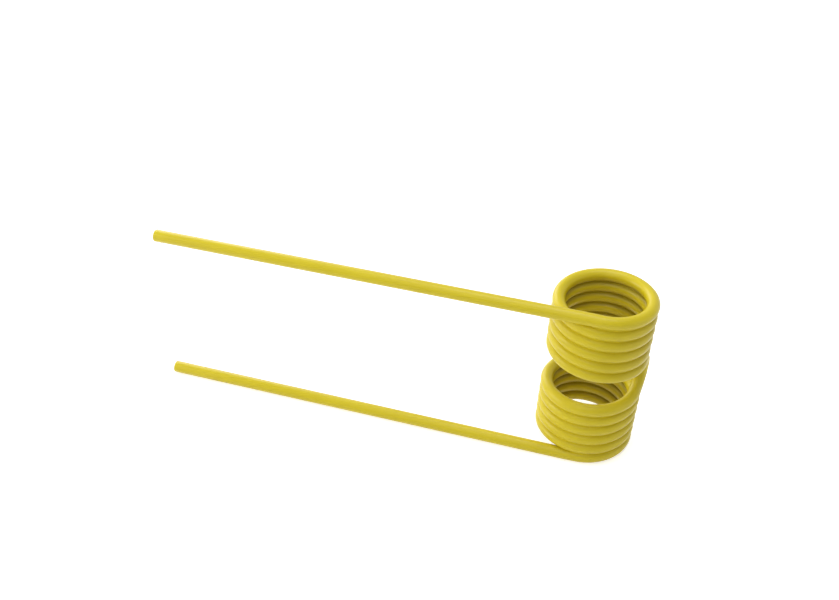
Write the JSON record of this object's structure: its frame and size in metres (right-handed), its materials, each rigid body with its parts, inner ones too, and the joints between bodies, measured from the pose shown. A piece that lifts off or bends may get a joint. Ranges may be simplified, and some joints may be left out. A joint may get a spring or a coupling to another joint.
{
  "type": "spring tine",
  "caption": "Double torsion spring tine bent from one round wire: two straight legs, two close-wound coils of opposite hand on one axis, and a U-shaped bridge between them for its fixing bolt.",
  "frame": {"origin": "on the coil axis, half way between the two coils", "axes": "+Z along the coil axis, from one coil to the other; the legs run to -X from the -Y side of the coils; the bridge for the bolt is on the +X side"},
  "size_m": [0.2219, 0.0446, 0.0816],
  "materials": {
    "spring_wire": "satin yellow coating on spring steel wire"
  },
  "bodies": {
    "root": {"spring_tine": "spring_wire"}
  },
  "joints": []
}
